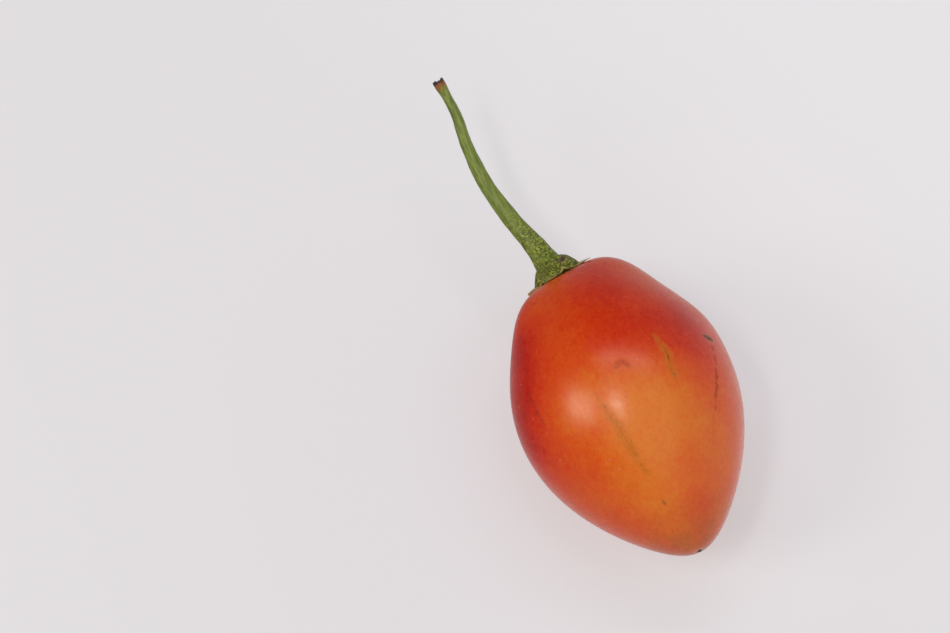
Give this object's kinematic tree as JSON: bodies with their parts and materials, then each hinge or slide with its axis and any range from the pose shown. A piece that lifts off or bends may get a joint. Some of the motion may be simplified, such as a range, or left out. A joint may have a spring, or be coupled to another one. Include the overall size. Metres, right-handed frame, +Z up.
{
  "type": "tree tomato",
  "caption": "Whole egg-shaped tree tomato (tamarillo) with its lobed calyx and long curved stem, lying on its side on a small flat spot.",
  "frame": {"origin": "centre of the small flat spot under the fruit's widest place, on which it rests", "axes": "+Y along the fruit's long axis from the blossom tip to the stem end, +Z up"},
  "size_m": [0.0498, 0.1246, 0.0491],
  "materials": {
    "fruit_skin": "satin",
    "calyx_green": "matte",
    "stem_green": "matte"
  },
  "bodies": {
    "root": {"fruit": "fruit_skin", "calyx": "calyx_green", "stem": "stem_green"}
  },
  "joints": []
}
